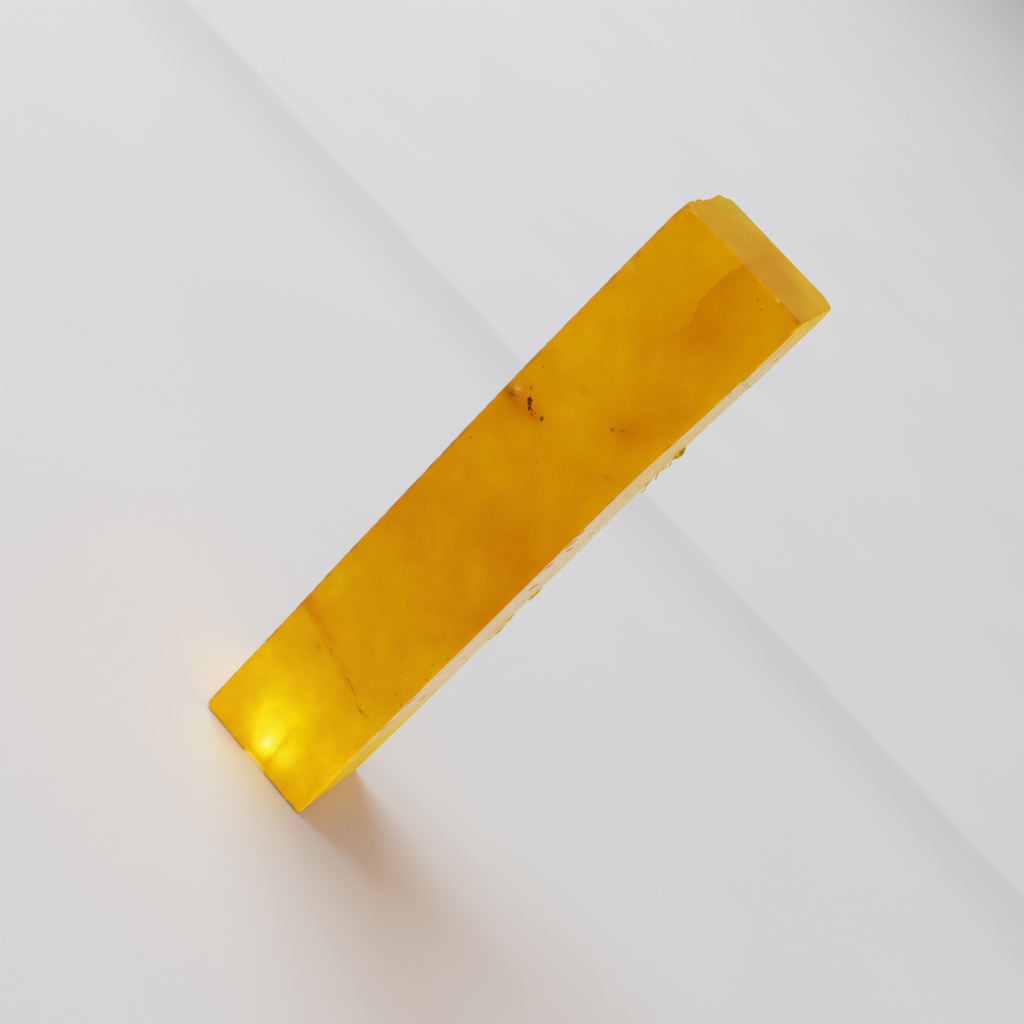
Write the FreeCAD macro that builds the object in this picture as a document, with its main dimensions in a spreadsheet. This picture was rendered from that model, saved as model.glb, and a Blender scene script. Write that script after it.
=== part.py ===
"""A sawn rectangular bar of translucent honey-yellow material, standing upright on its lower end.

The bar has one stained crack across it, a veil and a fissure that reach in from its front face, and grains
set flush in its faces. The saw left burrs on its back right arris. Millimetres, +Z up along the bar, the
front face towards -Y, the origin at the middle of the base.
"""
import FreeCAD, Part

import os

import Sketcher

Vector = FreeCAD.Vector
Rotation = FreeCAD.Rotation
Placement = FreeCAD.Placement

# Driving dimensions in millimetres and degrees. Offsets are measured from the bar's middle plane.
DIMENSIONS = {
    "bar_length": 100.0,
    "bar_depth": 17.9,
    "left_offset": 10.15,
    "right_offset": 10.3,
    "left_bow": 0.35,
    "right_hollow": 0.6,
    "base_edge_radius": 1.4,
    "back_arris_radius": 0.6,
    "back_left_chip_width": 1.5,
    "back_left_chip_depth": 3.0,
    "back_left_chip_drop": 9.0,
    "front_left_chip_width": 0.6,
    "front_left_chip_depth": 1.5,
    "front_left_chip_drop": 2.5,
    "back_right_chip_width": 1.8,
    "back_right_chip_depth": 1.6,
    "back_right_chip_drop": 2.2,
    "chip_wedge": 4.0,
    "base_chip_middle": 0.5,
    "base_chip_width": 4.4,
    "base_chip_rise": 0.3,
    "base_chip_depth": 0.5,
    "crack_left_height": 24.2,
    "crack_knee_x": -3.0,
    "crack_knee_height": 21.5,
    "crack_shoulder_x": 6.0,
    "crack_shoulder_height": 18.9,
    "crack_right_height": 18.7,
    "crack_gap": 0.12,
    "crack_overhang": 2.0,
    "film_thickness": 0.1,
    "veil_top_x": -0.1,
    "veil_upper_x": -0.8,
    "veil_upper_drop": 5.0,
    "veil_lower_x": 0.3,
    "veil_lower_drop": 10.0,
    "veil_tip_x": -0.2,
    "veil_tip_drop": 12.0,
    "veil_reach": 12.0,
    "veil_slant": 18.0,
    "fissure_base_x": 2.5,
    "fissure_lower_x": 2.2,
    "fissure_lower_height": 1.9,
    "fissure_upper_x": 1.4,
    "fissure_upper_height": 6.6,
    "fissure_tip_x": 1.2,
    "fissure_tip_height": 9.4,
    "fissure_reach": 7.0,
    "fissure_slant": -12.0,
    "grain_sink": 0.3,
    "hairline_sink": 0.15,
    "speck_radius": 0.13,
    "speck_sink": 0.2,
    "flake_thickness": 0.35,
    "flake_bite": 0.9,
}

# Grains in the front face: x, z, length and width of the patch that shows, and its tilt in degrees.
DARK_GRAINS = [
    (-7.00, 68.00, 0.95, 0.70, -42),
    (-6.36, 67.22, 0.75, 0.50, -42),
    (-5.60, 66.85, 0.30, 0.28, 0),
    (-5.38, 67.34, 0.38, 0.16, 15),
    (-4.29, 67.46, 0.78, 0.42, -60),
]
PALE_GRAINS = [
    (-9.20, 67.90, 0.80, 0.65, -20),
    (-5.24, 67.72, 0.35, 0.25, 0),
    (-8.22, 89.67, 0.50, 0.35, 30),
]
FAINT_GRAINS = [
    (-7.97, 69.27, 0.55, 0.50, 60),
    (-9.15, 66.81, 1.10, 0.55, 25),
    (3.00, 73.40, 0.70, 0.40, 20),
    (4.07, 74.30, 0.45, 0.35, -35),
    (6.79, 68.57, 0.35, 0.30, 0),
]
CRACK_GRAINS = [
    (-7.08, 23.30, 0.40, 0.30, -20),
    (-4.20, 20.51, 0.60, 0.35, -10),
    (-2.75, 21.80, 0.95, 0.16, 8),
    (1.90, 20.55, 0.85, 0.16, -12),
    (3.00, 20.05, 0.95, 0.18, -14),
    (3.78, 19.85, 0.50, 0.14, -52),
    (5.40, 19.42, 0.32, 0.14, -45),
    (6.10, 18.62, 0.80, 0.18, -6),
]
FRONT_SPECKS = [
    (4.26, 98.23),
    (5.41, 97.65),
    (-9.77, 91.24),
    (-8.70, 72.40),
    (-9.60, 75.10),
    (-3.10, 74.15),
    (-0.95, 62.90),
    (-9.10, 58.50),
    (8.30, 31.90),
    (9.20, 34.20),
    (9.24, 29.60),
    (6.10, 27.50),
    (7.80, 24.60),
    (9.30, 24.10),
]
# Specks in the right face: y and z.
SIDE_SPECKS = [
    (4.00, 93.00),
    (3.50, 91.20),
    (-7.90, 60.30),
    (-7.00, 57.90),
    (3.40, 56.20),
    (-3.40, 55.40),
    (-6.80, 53.30),
    (-1.20, 46.80),
    (0.50, 30.80),
    (-7.00, 24.50),
    (1.00, 21.40),
    (-7.30, 18.90),
]
# Burrs on the back right arris: lowest point, height and how far each stands out.
FLAKES = [
    (85.0, 0.9, 0.15),
    (69.6, 2.4, 0.40),
    (65.9, 3.2, 0.35),
    (63.3, 1.6, 0.35),
    (40.0, 3.6, 0.22),
    (31.2, 6.4, 0.12),
]

# Each flake's outline, as shares of its height and of how far it stands out.
FLAKE_SHOULDER_OUT = 0.4
FLAKE_SHOULDER_UP = 0.1
FLAKE_TIP_UP = 0.75

# How much larger a chip's facet is made than the corner it knocks off, to pass clean through the faces.
CHIP_SPREAD = 2
# The share of the bar's volume that its pieces may differ from it by.
VOLUME_TOLERANCE = 0.001

doc = FreeCAD.newDocument("TranslucentBar")
sheet = doc.addObject("Spreadsheet::Sheet", "Dimensions")


def fill_sheet():
    """Writes each driving dimension into the sheet as a plain number with its alias."""
    for row, (alias, value) in enumerate(DIMENSIONS.items(), start=1):
        sheet.set(f"A{row}", alias)
        sheet.set(f"B{row}", str(value))
        sheet.setAlias(f"B{row}", alias)
    doc.recompute()


def value_of(expression):
    """The number that an expression over the sheet's aliases gives."""
    return float(sheet.evalExpression(expression))


def qualified(expression):
    """The same expression with each alias read through the sheet, as other objects need it."""
    words = expression.split()
    return " ".join(f"Dimensions.{word}" if word in DIMENSIONS else word for word in words)


def bind(thing, prop, expression):
    """Ties a property to the sheet."""
    thing.setExpression(prop, qualified(expression))


def add_body(name):
    body = doc.addObject("PartDesign::Body", name)
    body.Label = name
    return body


def add_sketch(body, name, role, offset="0"):
    """A sketch on one of the body's origin planes, moved along the plane's normal by an expression."""
    plane = next(item for item in body.Origin.OriginFeatures if item.Role == role)
    sketch = body.newObject("Sketcher::SketchObject", name)
    sketch.AttachmentSupport = [(plane, "")]
    sketch.MapMode = "FlatFace"
    bind(sketch, "AttachmentOffset.Base.z", offset)
    return sketch


def pin_point(sketch, index, point, place):
    """Holds one end of a sketch element at a pair of expressions measured from the sketch's origin."""
    for kind, prefix, expression in zip(("DistanceX", "DistanceY"), ("across", "along"), place):
        made = sketch.addConstraint(Sketcher.Constraint(kind, index, point, value_of(expression)))
        sketch.renameConstraint(made, f"{prefix}_{index}")
        bind(sketch, f"Constraints.{prefix}_{index}", expression)


def close_outline(sketch, count):
    """Joins each element's end to the next one's start."""
    for index in range(count):
        sketch.addConstraint(Sketcher.Constraint("Coincident", index, 2, (index + 1) % count, 1))


def draw_polygon(sketch, corners):
    """A closed outline of straight edges, each corner given as a pair of expressions."""
    places = [Vector(value_of(across), value_of(along), 0) for across, along in corners]
    for start, end in zip(places, places[1:] + places[:1]):
        sketch.addGeometry(Part.LineSegment(start, end), False)
    close_outline(sketch, len(corners))
    for index, corner in enumerate(corners):
        pin_point(sketch, index, 1, corner)


def draw_front_outline(sketch):
    """The bar seen from the front: level ends, a left edge that bows out and a hollow right edge."""
    length = value_of("bar_length")
    left_x = value_of("0 - left_offset")
    right_x = value_of("right_offset")
    left_middle = Vector(left_x - value_of("left_bow"), length / 2, 0)
    right_middle = Vector(right_x - value_of("right_hollow"), length / 2, 0)
    top_left, base_left = Vector(left_x, length, 0), Vector(left_x, 0, 0)
    top_right, base_right = Vector(right_x, length, 0), Vector(right_x, 0, 0)
    sketch.addGeometry(Part.Arc(top_left, left_middle, base_left), False)
    sketch.addGeometry(Part.LineSegment(base_left, base_right), False)
    sketch.addGeometry(Part.Arc(top_right, right_middle, base_right), False)
    sketch.addGeometry(Part.LineSegment(top_right, top_left), False)
    for joint in ((0, 2, 1, 1), (1, 2, 2, 2), (2, 1, 3, 1), (3, 2, 0, 1)):
        sketch.addConstraint(Sketcher.Constraint("Coincident", *joint))
    pin_point(sketch, 0, 1, ("0 - left_offset", "bar_length"))
    pin_point(sketch, 1, 1, ("0 - left_offset", "0"))
    pin_point(sketch, 2, 2, ("right_offset", "0"))
    pin_point(sketch, 3, 1, ("right_offset", "bar_length"))
    for index, sagitta in ((0, "left_bow"), (2, "right_hollow")):
        radius = f"bar_length ^ 2 / ( 8 * {sagitta} ) + {sagitta} / 2"
        made = sketch.addConstraint(Sketcher.Constraint("Radius", index, value_of(radius)))
        sketch.renameConstraint(made, f"radius_{index}")
        bind(sketch, f"Constraints.radius_{index}", radius)


def edge_near(shape, point):
    """The name of the shape's edge that passes closest to a point."""
    vertex = Part.Vertex(point)
    distances = [edge.distToShape(vertex)[0] for edge in shape.Edges]
    return f"Edge{distances.index(min(distances)) + 1}"


def add_fillet(body, name, point, radius):
    """Rounds the edge of the body that passes through a point."""
    doc.recompute()
    base = body.Tip
    fillet = body.newObject("PartDesign::Fillet", name)
    fillet.Base = (base, [edge_near(base.Shape, point)])
    bind(fillet, "Radius", radius)
    return fillet


def add_pocket(body, sketch, name, depth):
    """Cuts the sketch's outline into the body against its normal, and makes sure that it cut something."""
    doc.recompute()
    before = body.Shape.Volume
    pocket = body.newObject("PartDesign::Pocket", name)
    pocket.Profile = sketch
    bind(pocket, "Length", depth)
    doc.recompute()
    if body.Shape.Volume >= before:
        raise RuntimeError(f"{name} cut nothing")
    return pocket


def make_corner_chip(name, side, end):
    """A wedge that knocks off one top corner along a slanting facet.

    Side and end are the corner's signs in x and y.
    """
    edge_x = value_of("right_offset") if side > 0 else value_of("0 - left_offset")
    edge_y = end * value_of("bar_depth / 2")
    top = value_of("bar_length")
    width, depth, drop = (value_of(f"{name}_{size}") for size in ("width", "depth", "drop"))
    facet = [
        Vector(edge_x - side * width, edge_y, top),
        Vector(edge_x, edge_y - end * depth, top),
        Vector(edge_x, edge_y, top - drop),
    ]
    middle = (facet[0] + facet[1] + facet[2]) / 3
    spread = [middle + (corner - middle) * CHIP_SPREAD for corner in facet]
    outward = (facet[1] - facet[0]).cross(facet[2] - facet[0]).normalize()
    if outward.z < 0:
        outward = -outward
    chip = doc.addObject("Part::Feature", name)
    chip.Shape = Part.Face(Part.makePolygon(spread + spread[:1])).extrude(outward * value_of("chip_wedge"))
    chip.Placement = Placement()
    return chip


def make_bar_blank():
    """The whole bar, before the flaws and grains are taken out of it."""
    body = add_body("sawn_block")
    outline = add_sketch(body, "front_outline", "XZ_Plane")
    draw_front_outline(outline)
    pad = body.newObject("PartDesign::Pad", "sawn_pad")
    pad.Profile = outline
    pad.Midplane = True
    bind(pad, "Length", "bar_depth")

    base_left = Vector(value_of("0 - left_offset"), 0, 0)
    back_right = Vector(
        value_of("right_offset - right_hollow"),
        value_of("bar_depth / 2"),
        value_of("bar_length / 2"),
    )
    add_fillet(body, "base_left_round", base_left, "base_edge_radius")
    add_fillet(body, "back_right_round", back_right, "back_arris_radius")

    base_chip = add_sketch(body, "base_chip_outline", "XZ_Plane", "bar_depth / 2")
    draw_polygon(base_chip, [
        ("base_chip_middle - base_chip_width / 2", "0"),
        ("base_chip_middle - base_chip_width / 2", "0 - base_chip_rise"),
        ("base_chip_middle + base_chip_width / 2", "0 - base_chip_rise"),
        ("base_chip_middle + base_chip_width / 2", "0"),
        ("base_chip_middle + base_chip_width / 6", "base_chip_rise"),
        ("base_chip_middle - base_chip_width / 6", "base_chip_rise"),
    ])
    add_pocket(body, base_chip, "base_chip", "base_chip_depth")
    chips = [
        make_corner_chip("back_left_chip", -1, 1),
        make_corner_chip("front_left_chip", -1, -1),
        make_corner_chip("back_right_chip", 1, 1),
    ]
    return boolean("Part::Cut", "bar_blank", body, make_group("corner_chips", chips))


def crack_line(shift):
    """The crack's four corners from left to right, moved up by an expression."""
    overhang_left = "0 - left_offset - crack_overhang"
    overhang_right = "right_offset + crack_overhang"
    return [
        (overhang_left, f"crack_left_height {shift}"),
        ("crack_knee_x", f"crack_knee_height {shift}"),
        ("crack_shoulder_x", f"crack_shoulder_height {shift}"),
        (overhang_right, f"crack_right_height {shift}"),
    ]


def closed_by_level(line, height):
    """An outline between a line that runs left to right and a level height above or below it."""
    return line + [(line[-1][0], height), (line[0][0], height)]


def make_region(name, corners):
    """A prism through the whole depth of the bar, used to divide it along the crack."""
    body = add_body(name)
    sketch = add_sketch(body, f"{name}_outline", "XZ_Plane")
    draw_polygon(sketch, corners)
    pad = body.newObject("PartDesign::Pad", f"{name}_pad")
    pad.Profile = sketch
    pad.Midplane = True
    bind(pad, "Length", "bar_depth + 2 * crack_overhang")
    return body


def make_sheet_body(name, middle_line, reach, slant):
    """A thin upright sheet that runs from the front face into the bar, turned about the vertical."""
    body = add_body(name)
    sketch = add_sketch(body, f"{name}_outline", "XZ_Plane")
    left = [(f"{across} - film_thickness / 2", along) for across, along in middle_line]
    right = [(f"{across} + film_thickness / 2", along) for across, along in reversed(middle_line)]
    draw_polygon(sketch, left + right)
    pad = body.newObject("PartDesign::Pad", f"{name}_pad")
    pad.Profile = sketch
    pad.Reversed = True
    bind(pad, "Length", reach)
    turn = Rotation(Vector(0, 0, 1), value_of(slant))
    body.Placement = Placement(Vector(0, value_of("0 - bar_depth / 2"), 0), turn)
    return body


def make_grain(name, length, width, sink, place, turn):
    """A rounded grain centred in the front face, so that half of it is inside the bar."""
    grain = doc.addObject("Part::Ellipsoid", name)
    grain.Radius2 = length / 2
    grain.Radius1 = width / 2
    bind(grain, "Radius3", sink)
    grain.Placement = Placement(place, turn)
    return grain


def make_sliver(name, length, width, sink, place, turn):
    """A flat-sided sliver centred in the front face."""
    sliver = doc.addObject("Part::Box", name)
    sliver.Length = length
    sliver.Height = width
    bind(sliver, "Width", f"2 * {sink}")
    corner = Vector(-length / 2, value_of(f"0 - {sink}"), -width / 2)
    sliver.Placement = Placement(place + turn.multVec(corner), turn)
    return sliver


def make_speck(name, place, turn):
    """A six-sided crystal whose axis crosses the face that it sits in."""
    speck = doc.addObject("Part::Prism", name)
    speck.Polygon = 6
    bind(speck, "Circumradius", "speck_radius")
    bind(speck, "Height", "2 * speck_sink")
    speck.Placement = Placement(place - turn.multVec(Vector(0, 0, value_of("speck_sink"))), turn)
    return speck


def make_group(name, members):
    group = doc.addObject("Part::Compound", name)
    group.Links = members
    return group


def make_front_grains(name, grains, make, sink):
    """A group of grains centred in the front face, each made by the function given."""
    members = []
    for number, (across, height, length, width, tilt) in enumerate(grains, start=1):
        place = Vector(across, value_of("0 - bar_depth / 2"), height)
        # A positive tilt lifts the right end of the patch.
        turn = Rotation(Vector(0, -1, 0), tilt)
        members.append(make(f"{name}_{number}", length, width, sink, place, turn))
    return make_group(f"{name}_cutter", members)


def right_face_x(height):
    """Where the right face lies at a given height: a shallow hollow, deepest halfway up."""
    along = 2 * height / value_of("bar_length") - 1
    return value_of("right_offset") - value_of("right_hollow") * (1 - along**2)


def make_specks():
    """Small crystals in the front face and in the right face."""
    front_y = value_of("0 - bar_depth / 2")
    out_of_front = Rotation(Vector(1, 0, 0), 90)
    out_of_side = Rotation(Vector(0, 1, 0), 90)
    places = [(Vector(across, front_y, height), out_of_front) for across, height in FRONT_SPECKS]
    places += [(Vector(right_face_x(height), depth, height), out_of_side) for depth, height in SIDE_SPECKS]
    members = [
        make_speck(f"pepper_speck_{number}", place, turn)
        for number, (place, turn) in enumerate(places, start=1)
    ]
    return make_group("pepper_specks_cutter", members)


def make_flakes(blank):
    """Thin burrs that stand out from the back right arris and meet the bar face to face."""
    members = []
    reach = value_of("flake_bite")
    half_depth = value_of("bar_depth / 2")
    for number, (lowest, height, standing) in enumerate(FLAKES, start=1):
        root = right_face_x(lowest + height / 2)
        corners = [
            Vector(root - reach, half_depth, lowest),
            Vector(root + standing * FLAKE_SHOULDER_OUT, half_depth, lowest + height * FLAKE_SHOULDER_UP),
            Vector(root + standing, half_depth, lowest + height * FLAKE_TIP_UP),
            Vector(root - reach, half_depth, lowest + height),
        ]
        outline = Part.makePolygon(corners + corners[:1])
        flake = doc.addObject("Part::Feature", f"flake_{number}")
        flake.Shape = Part.Face(outline).extrude(Vector(0, -value_of("flake_thickness"), 0))
        flake.Placement = Placement()
        members.append(flake)
    flakes = make_group("edge_flakes_blank", members)
    return boolean("Part::Cut", "edge_flakes", flakes, blank)


def boolean(kind, name, base, tool):
    result = doc.addObject(kind, name)
    result.Label = name
    result.Base = base
    result.Tool = tool
    result.Refine = False
    return result


def build():
    """Makes every sub-part and returns them."""
    fill_sheet()
    blank = make_bar_blank()

    film_bottom = crack_line("- crack_gap / 2")
    film_top = crack_line("+ crack_gap / 2")
    above = make_region("above_crack", closed_by_level(film_top, "bar_length + crack_overhang"))
    within = make_region("within_crack", film_bottom + film_top[::-1])
    below = make_region("below_crack", closed_by_level(film_bottom, "0 - crack_overhang"))

    veil_line = [
        ("veil_top_x", "bar_length + crack_overhang"),
        ("veil_upper_x", "bar_length - veil_upper_drop"),
        ("veil_lower_x", "bar_length - veil_lower_drop"),
        ("veil_tip_x", "bar_length - veil_tip_drop"),
    ]
    fissure_line = [
        ("fissure_base_x", "0 - crack_overhang"),
        ("fissure_lower_x", "fissure_lower_height"),
        ("fissure_upper_x", "fissure_upper_height"),
        ("fissure_tip_x", "fissure_tip_height"),
    ]
    cutters = {
        "top_veil": make_sheet_body("veil_sheet", veil_line, "veil_reach", "veil_slant"),
        "base_fissure": make_sheet_body("fissure_sheet", fissure_line, "fissure_reach", "fissure_slant"),
        "dark_grains": make_front_grains("dark_grains", DARK_GRAINS, make_grain, "grain_sink"),
        "pale_grains": make_front_grains("pale_grains", PALE_GRAINS, make_grain, "grain_sink"),
        "faint_grains": make_front_grains("faint_grains", FAINT_GRAINS, make_grain, "grain_sink"),
        "crack_grains": make_front_grains("crack_grains", CRACK_GRAINS, make_sliver, "hairline_sink"),
        "pepper_specks": make_specks(),
    }
    host = boolean("Part::Cut", "host_bar", blank, make_group("all_cutters", list(cutters.values())))
    parts = [
        boolean("Part::Common", "main_block", host, above),
        boolean("Part::Common", "foot_block", host, below),
        boolean("Part::Common", "crack_film", host, within),
        make_flakes(blank),
    ]
    parts += [boolean("Part::Common", name, blank, cutter) for name, cutter in cutters.items()]
    doc.recompute()
    return parts


def expected_solids(part):
    """How many separate solids a sub-part has: one for each member of the group it is made from."""
    groups = [item for item in (part.Base, part.Tool) if item.isDerivedFrom("Part::Compound")]
    return len(groups[0].Links) if groups else 1


def check(parts):
    """Stops if an object failed, a sub-part is missing or broken, or the pieces don't fill the bar."""
    for item in doc.Objects:
        if "Invalid" in item.State or "Error" in item.State:
            raise RuntimeError(f"{item.Name} failed: {item.State}")
    for part in parts:
        if part.Shape.isNull() or not part.Shape.isValid():
            raise RuntimeError(f"{part.Label} has no valid shape")
        if len(part.Shape.Solids) != expected_solids(part):
            found, wanted = len(part.Shape.Solids), expected_solids(part)
            raise RuntimeError(f"{part.Label} has {found} solids, not {wanted}")
    blank = doc.getObject("bar_blank").Shape.Volume
    filled = sum(part.Shape.Volume for part in parts if part.Label != "edge_flakes")
    if abs(filled - blank) > VOLUME_TOLERANCE * blank:
        raise RuntimeError(f"the pieces hold {filled:.1f} mm3 and the bar {blank:.1f} mm3")


def export(parts):
    os.makedirs("parts", exist_ok=True)
    for part in parts:
        part.Shape.exportStep(f"parts/{part.Label}.step")
        box = part.Shape.BoundBox
        print(
            f"{part.Label}: {len(part.Shape.Solids)} solids, {part.Shape.Volume:.2f} mm3, "
            f"x {box.XMin:.2f}..{box.XMax:.2f}, y {box.YMin:.2f}..{box.YMax:.2f}, "
            f"z {box.ZMin:.2f}..{box.ZMax:.2f}"
        )


sub_parts = build()
check(sub_parts)
export(sub_parts)
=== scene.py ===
"""The looks of a sawn bar of translucent honey-yellow material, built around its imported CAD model.

Lengths are written in millimetres and turned into metres where a mesh, light or camera is made. The
frame has +Z up along the bar, the front face towards -Y and the origin in the middle of the base.
"""
import math

import bpy
import numpy as np
from mathutils import Matrix, Vector


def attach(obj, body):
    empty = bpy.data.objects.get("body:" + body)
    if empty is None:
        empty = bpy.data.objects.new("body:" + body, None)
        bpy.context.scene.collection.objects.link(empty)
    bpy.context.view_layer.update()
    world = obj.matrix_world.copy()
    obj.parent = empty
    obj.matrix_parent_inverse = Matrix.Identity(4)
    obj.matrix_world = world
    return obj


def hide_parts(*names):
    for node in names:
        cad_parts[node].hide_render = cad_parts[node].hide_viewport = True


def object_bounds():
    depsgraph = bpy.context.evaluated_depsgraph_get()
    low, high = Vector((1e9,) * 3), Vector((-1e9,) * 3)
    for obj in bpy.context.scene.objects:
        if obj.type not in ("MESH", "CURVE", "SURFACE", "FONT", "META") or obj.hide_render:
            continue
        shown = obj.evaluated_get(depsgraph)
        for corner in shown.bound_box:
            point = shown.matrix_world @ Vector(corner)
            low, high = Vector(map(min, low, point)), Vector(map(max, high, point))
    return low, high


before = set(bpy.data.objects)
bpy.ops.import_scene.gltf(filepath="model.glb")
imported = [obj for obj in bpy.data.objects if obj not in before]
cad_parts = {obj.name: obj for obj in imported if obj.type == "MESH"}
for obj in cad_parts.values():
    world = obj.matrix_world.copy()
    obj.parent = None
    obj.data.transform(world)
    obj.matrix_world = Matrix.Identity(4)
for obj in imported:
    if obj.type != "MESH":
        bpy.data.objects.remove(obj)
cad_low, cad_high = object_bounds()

MM = 0.001
LENGTH = cad_high.z / MM
HALF_DEPTH = cad_high.y / MM
FRONT = -HALF_DEPTH
WIDTH = 20.4

# The crack's line across the front, from left to right: x and height.
CRACK = [(-12.15, 24.2), (-3.0, 21.5), (6.0, 18.9), (12.3, 18.7)]
CRACK_GAP = 0.11
FILM_THICKNESS = 0.12
# How far films, sheets and grains stand out of the bar, and how much further the right face's specks do.
PROUD = 0.012
SIDE_PROUD = 0.03
# Rings and spokes of a grain's mesh, and of a burr's.
RINGS = 7
SPOKES = 22
BURR_RINGS = 26
BURR_SPOKES = 10
# How far a grain's outline strays from an ellipse.
GRAIN_UNEVENNESS = 0.3
# How thick the veil and fissure are, and how far each reaches in and slants, in degrees.
SHEET_THICKNESS = 0.1
VEIL_REACH = 12.0
VEIL_SLANT = 18.0
FISSURE_REACH = 7.0
FISSURE_SLANT = -12.0
# A mesh edge that turns by more than this many degrees shows as a crisp one.
SHARP_ANGLE = 38


# ------------ numbers and noise


def smooth(low, high, value):
    """0 below low, 1 above high and a smooth step between them."""
    t = np.clip((np.asarray(value, float) - low) / (high - low), 0, 1)
    return t * t * (3 - 2 * t)


def through(*knots):
    """A smooth curve through a few points, each slope taken from the point's neighbours."""
    at, value = np.array(knots, float).T
    slope = np.gradient(value, at)

    def curve(x):
        i = np.clip(np.searchsorted(at, x) - 1, 0, len(at) - 2)
        span = at[i + 1] - at[i]
        t = np.clip((x - at[i]) / span, 0, 1)
        start = (1 + 2 * t) * (1 - t) ** 2 * value[i] + t * (1 - t) ** 2 * span * slope[i]
        end = t**2 * (3 - 2 * t) * value[i + 1] - t**2 * (1 - t) * span * slope[i + 1]
        return start + end

    return curve


# Large primes that scatter the corners of the noise's lattice.
HASH_FACTORS = np.array([73856093, 19349663, 83492791], np.uint64)


def noise(points, cell, seed):
    """Smooth value noise from -1 to 1. Cell is the size of its lumps, one number or one for each axis."""
    scaled = np.asarray(points, float) / cell + 37.3 * seed + 1000
    corner = np.floor(scaled).astype(np.int64)
    t = scaled - corner
    t = t * t * (3 - 2 * t)
    total = np.zeros(len(scaled))
    for step in np.ndindex(2, 2, 2):
        at = (corner + step).astype(np.uint64)
        hashed = np.bitwise_xor.reduce(at * HASH_FACTORS, axis=1)
        hashed = (hashed ^ (hashed >> np.uint64(13))) * np.uint64(0x9E3779B1) % np.uint64(1 << 32)
        value = (hashed ^ (hashed >> np.uint64(15))) % np.uint64(65536) / 32767.5 - 1
        weight = np.prod(np.where(step, t, 1 - t), axis=1)
        total += weight * value
    return total


def linear(colour):
    """An sRGB colour from 0 to 255 as linear light."""
    c = np.asarray(colour, float) / 255
    return np.where(c <= 0.04045, c / 12.92, ((c + 0.055) / 1.055) ** 2.4)


def mixed(first, second, share):
    """The first colour with, at each point, a share of the second in place of it."""
    share = share[:, None]
    return first * (1 - share) + second * share


def hump(value, middle, reach):
    """A smooth hump: 1 in the middle, falling away on both sides over about its reach."""
    return np.exp(-(((value - middle) / reach) ** 2))


# ------------ the bar's outline

# The x of each upright edge, as points of height and x.
left_edge = through(
    (0, -10.12), (6, -10.15), (20, -10.2), (32, -10.37),
    (45, -10.44), (68, -10.54), (91, -10.3), (100, -10.15),
)
right_front_edge = through(
    (0, 10.2), (5.5, 10.22), (11.5, 9.93), (22, 9.74), (42, 9.64),
    (60, 9.5), (71, 9.47), (82, 9.82), (90, 9.98), (100, 10.02),
)
right_back_edge = through(
    (0, 10.38), (17, 10.36), (26, 10.26), (37, 10.08), (48, 10.1),
    (62, 9.93), (74, 9.96), (84, 10.12), (100, 10.16),
)

# Where the saw's two passes meet, at the front and the back of the right face, and by how much they differ.
SAW_STEP_FRONT = 90.0
SAW_STEP_BACK = 84.5
SAW_STEP = 0.14
# The saw's groove in the right face: its y, half width and depth, and a fainter one's y and half width.
GROOVE_Y = 5.0
GROOVE_REACH = 0.3
GROOVE_DEPTH = 0.07
FAINT_GROOVE_Y = 2.2
FAINT_GROOVE_REACH = 0.2


def saw_step_height(y):
    """The height at which the saw's two passes meet on the right face."""
    return SAW_STEP_FRONT + (SAW_STEP_BACK - SAW_STEP_FRONT) * (y + HALF_DEPTH) / (2 * HALF_DEPTH)


def left_x(y, z):
    place = np.stack([0 * y, y, z], 1)
    return left_edge(z) + 0.05 * noise(place, (5, 5, 9), 3) * smooth(FRONT, FRONT + 3, y)


def right_x(y, z):
    """The right face: hollow, with one saw step across it, a groove and fine streaks along the saw's way."""
    share = (y + HALF_DEPTH) / (2 * HALF_DEPTH)
    x = right_front_edge(z) * (1 - share) + right_back_edge(z) * share
    x = x + SAW_STEP * smooth(-0.15, 0.15, z - saw_step_height(y))
    place = np.stack([0 * y, y, z], 1)
    streaks = 0.016 * noise(place, (9, 0.75, 26), 5) + 0.03 * noise(place, (9, 2.6, 40), 6)
    groove = GROOVE_DEPTH * hump(y, GROOVE_Y, GROOVE_REACH) * smooth(84, 88, z) * smooth(93.5, 90, z)
    return x + streaks - groove


def front_y(x, z):
    """The front face: almost flat and faintly wavy. It winds a little at the foot, outwards at the right."""
    place = np.stack([x, 0 * x, z], 1)
    wind = (0.45 * smooth(0, -10, x) - 0.55 * smooth(0, 10, x)) * smooth(16, 0, z)
    return FRONT + wind + 0.02 * noise(place, (7, 7, 9), 7) + 0.006 * noise(place, 1.3, 8)


def crack_height(x):
    at, height = np.array(CRACK).T
    return np.interp(x, at, height) + 0.1 * np.sin(1.9 * x) + 0.05 * np.sin(4.7 * x + 1)


# ------------ block meshes


def lines_between(length, cell):
    """Lattice lines along one side of a block, as shares of its length, closer together at both ends."""
    ends = np.array([0, 0.06, 0.13, 0.22, 0.34, 0.5, 0.7])
    middle = np.linspace(0.9, length - 0.9, max(2, round((length - 1.8) / cell)))
    return np.concatenate([ends, middle, length - ends[::-1]]) / length


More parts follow.
